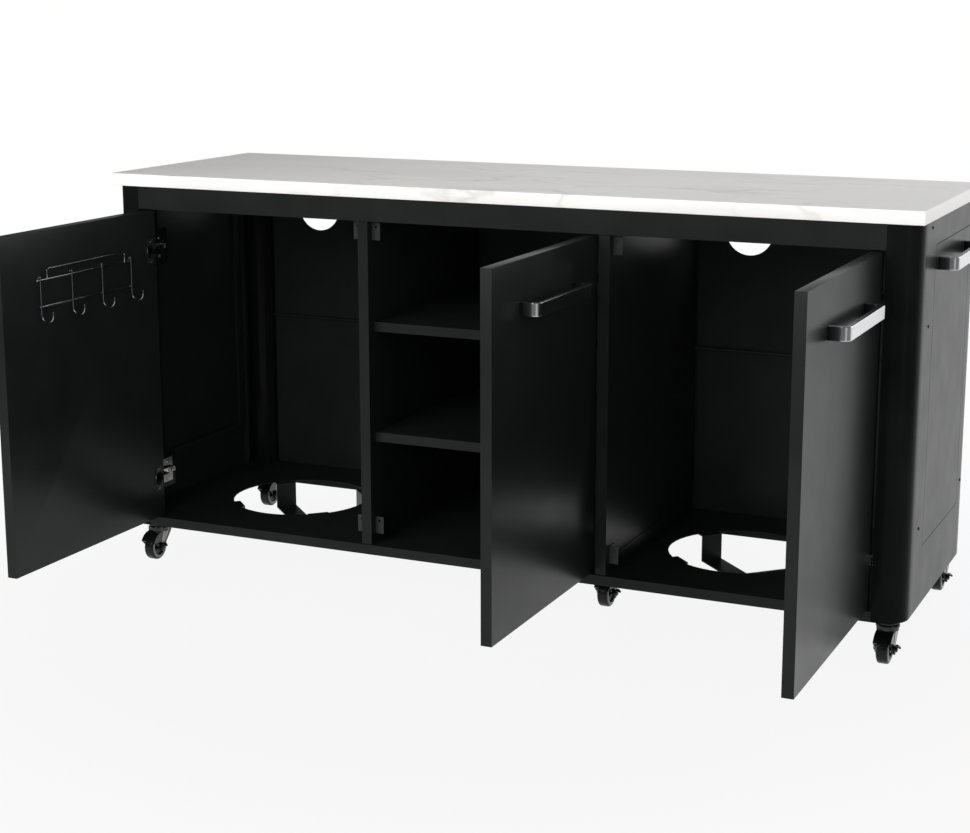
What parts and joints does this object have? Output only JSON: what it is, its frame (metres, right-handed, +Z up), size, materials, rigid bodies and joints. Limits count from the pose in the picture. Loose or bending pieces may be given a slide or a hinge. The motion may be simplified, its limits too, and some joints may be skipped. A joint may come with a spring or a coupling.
{
  "type": "outdoor kitchen island",
  "caption": "Outdoor kitchen island: sheet-metal cabinet on braked casters, stone worktop, open hinged doors, shelves and bottle wells",
  "frame": {"origin": "bottom centre of the whole object's bounding box at rest, doors open", "axes": "+X along the cabinet's width to the viewer's right, +Y to the back, +Z up; metres"},
  "size_m": [1.907, 1.144, 0.92],
  "materials": {
    "powder_coat": "satin black powder coat",
    "stone": "honed pale stone",
    "stainless": "brushed along the bar",
    "chrome": "polished",
    "dark_zinc": "dark zinc casting",
    "black_enamel": "gloss black enamel",
    "wheel": "smooth polyurethane",
    "nylon": "moulded nylon"
  },
  "bodies": {
    "cabinet": {"worktop": "stone", "front_right_post": "powder_coat", "front_left_post": "powder_coat", "rear_right_post": "powder_coat", "rear_left_post": "powder_coat", "base_tray": "powder_coat", "left_bottle_cradle": "powder_coat", "right_bottle_cradle": "powder_coat", "front_top_rail": "powder_coat", "upper_back_panel": "powder_coat", "lower_back_panel": "powder_coat", "right_divider": "powder_coat", "left_divider": "powder_coat", "lower_shelf": "powder_coat", "upper_shelf": "powder_coat", "right_side_panel": "powder_coat", "left_side_panel": "powder_coat", "right_side_cover": "powder_coat", "left_side_cover": "powder_coat", "left_door_lower_catch": "dark_zinc", "left_door_upper_catch": "dark_zinc", "middle_door_lower_catch": "dark_zinc", "middle_door_upper_catch": "dark_zinc", "right_door_lower_catch": "dark_zinc", "right_door_upper_catch": "dark_zinc", "side_handle": "stainless", "left_door_lower_hinge_arm": "chrome", "left_door_upper_hinge_arm": "chrome", "middle_door_lower_hinge_arm": "chrome", "middle_door_upper_hinge_arm": "chrome", "right_door_lower_hinge_arm": "chrome", "right_door_upper_hinge_arm": "chrome"},
    "left_door_leaf": {"left_door": "powder_coat", "left_door_handle": "stainless", "left_door_lower_hinge_cup": "dark_zinc", "left_door_upper_hinge_cup": "dark_zinc", "hook_rack": "chrome"},
    "middle_door_leaf": {"middle_door": "powder_coat", "middle_door_handle": "stainless", "middle_door_lower_hinge_cup": "dark_zinc", "middle_door_upper_hinge_cup": "dark_zinc"},
    "right_door_leaf": {"right_door": "powder_coat", "right_door_handle": "stainless", "right_door_lower_hinge_cup": "dark_zinc", "right_door_upper_hinge_cup": "dark_zinc"},
    "front_left_fork": {"front_left_caster_fork": "black_enamel"},
    "front_left_wheel": {"front_left_caster_wheel": "wheel"},
    "front_left_brake_lever": {"front_left_caster_brake_lever": "nylon"},
    "front_middle_fork": {"front_middle_caster_fork": "black_enamel"},
    "front_middle_wheel": {"front_middle_caster_wheel": "wheel"},
    "front_middle_brake_lever": {"front_middle_caster_brake_lever": "nylon"},
    "front_right_fork": {"front_right_caster_fork": "black_enamel"},
    "front_right_wheel": {"front_right_caster_wheel": "wheel"},
    "front_right_brake_lever": {"front_right_caster_brake_lever": "nylon"},
    "rear_left_fork": {"rear_left_caster_fork": "black_enamel"},
    "rear_left_wheel": {"rear_left_caster_wheel": "wheel"},
    "rear_left_brake_lever": {"rear_left_caster_brake_lever": "nylon"},
    "rear_right_fork": {"rear_right_caster_fork": "black_enamel"},
    "rear_right_wheel": {"rear_right_caster_wheel": "wheel"},
    "rear_right_brake_lever": {"rear_right_caster_brake_lever": "nylon"}
  },
  "joints": [
    {"name": "left_door_hinge", "type": "hinge", "parent": "cabinet", "child": "left_door_leaf", "pos_m": [-0.8665, -0.022, 0.475], "axis": [0, 0, 1], "range_deg": [-5, 90]},
    {"name": "middle_door_hinge", "type": "hinge", "parent": "cabinet", "child": "middle_door_leaf", "pos_m": [0.2355, -0.022, 0.475], "axis": [0, 0, 1], "range_deg": [-90, 5]},
    {"name": "right_door_hinge", "type": "hinge", "parent": "cabinet", "child": "right_door_leaf", "pos_m": [0.8315, -0.022, 0.475], "axis": [0, 0, 1], "range_deg": [-90, 5]},
    {"name": "front_left_swivel", "type": "hinge", "parent": "cabinet", "child": "front_left_fork", "pos_m": [-0.8805, 0.007, 0.075], "axis": [0, 0, 1], "continuous": true},
    {"name": "front_left_roll", "type": "hinge", "parent": "front_left_fork", "child": "front_left_wheel", "pos_m": [-0.8805, -0.013, 0.0315], "axis": [1, 0, 0], "continuous": true},
    {"name": "front_left_brake", "type": "hinge", "parent": "front_left_fork", "child": "front_left_brake_lever", "pos_m": [-0.8805, -0.013, 0.0315], "axis": [1, 0, 0], "range_deg": [0, 25]},
    {"name": "front_middle_swivel", "type": "hinge", "parent": "cabinet", "child": "front_middle_fork", "pos_m": [0.2315, 0.117, 0.075], "axis": [0, 0, 1], "continuous": true},
    {"name": "front_middle_roll", "type": "hinge", "parent": "front_middle_fork", "child": "front_middle_wheel", "pos_m": [0.2315, 0.097, 0.0315], "axis": [1, 0, 0], "continuous": true},
    {"name": "front_middle_brake", "type": "hinge", "parent": "front_middle_fork", "child": "front_middle_brake_lever", "pos_m": [0.2315, 0.097, 0.0315], "axis": [1, 0, 0], "range_deg": [0, 25]},
    {"name": "front_right_swivel", "type": "hinge", "parent": "cabinet", "child": "front_right_fork", "pos_m": [0.8745, 0.007, 0.075], "axis": [0, 0, 1], "continuous": true},
    {"name": "front_right_roll", "type": "hinge", "parent": "front_right_fork", "child": "front_right_wheel", "pos_m": [0.8745, -0.013, 0.0315], "axis": [1, 0, 0], "continuous": true},
    {"name": "front_right_brake", "type": "hinge", "parent": "front_right_fork", "child": "front_right_brake_lever", "pos_m": [0.8745, -0.013, 0.0315], "axis": [1, 0, 0], "range_deg": [0, 25]},
    {"name": "rear_left_swivel", "type": "hinge", "parent": "cabinet", "child": "rear_left_fork", "pos_m": [-0.8805, 0.535, 0.075], "axis": [0, 0, 1], "continuous": true},
    {"name": "rear_left_roll", "type": "hinge", "parent": "rear_left_fork", "child": "rear_left_wheel", "pos_m": [-0.8805, 0.515, 0.0315], "axis": [1, 0, 0], "continuous": true},
    {"name": "rear_left_brake", "type": "hinge", "parent": "rear_left_fork", "child": "rear_left_brake_lever", "pos_m": [-0.8805, 0.515, 0.0315], "axis": [1, 0, 0], "range_deg": [0, 25]},
    {"name": "rear_right_swivel", "type": "hinge", "parent": "cabinet", "child": "rear_right_fork", "pos_m": [0.8745, 0.535, 0.075], "axis": [0, 0, 1], "continuous": true},
    {"name": "rear_right_roll", "type": "hinge", "parent": "rear_right_fork", "child": "rear_right_wheel", "pos_m": [0.8745, 0.515, 0.0315], "axis": [1, 0, 0], "continuous": true},
    {"name": "rear_right_brake", "type": "hinge", "parent": "rear_right_fork", "child": "rear_right_brake_lever", "pos_m": [0.8745, 0.515, 0.0315], "axis": [1, 0, 0], "range_deg": [0, 25]}
  ]
}
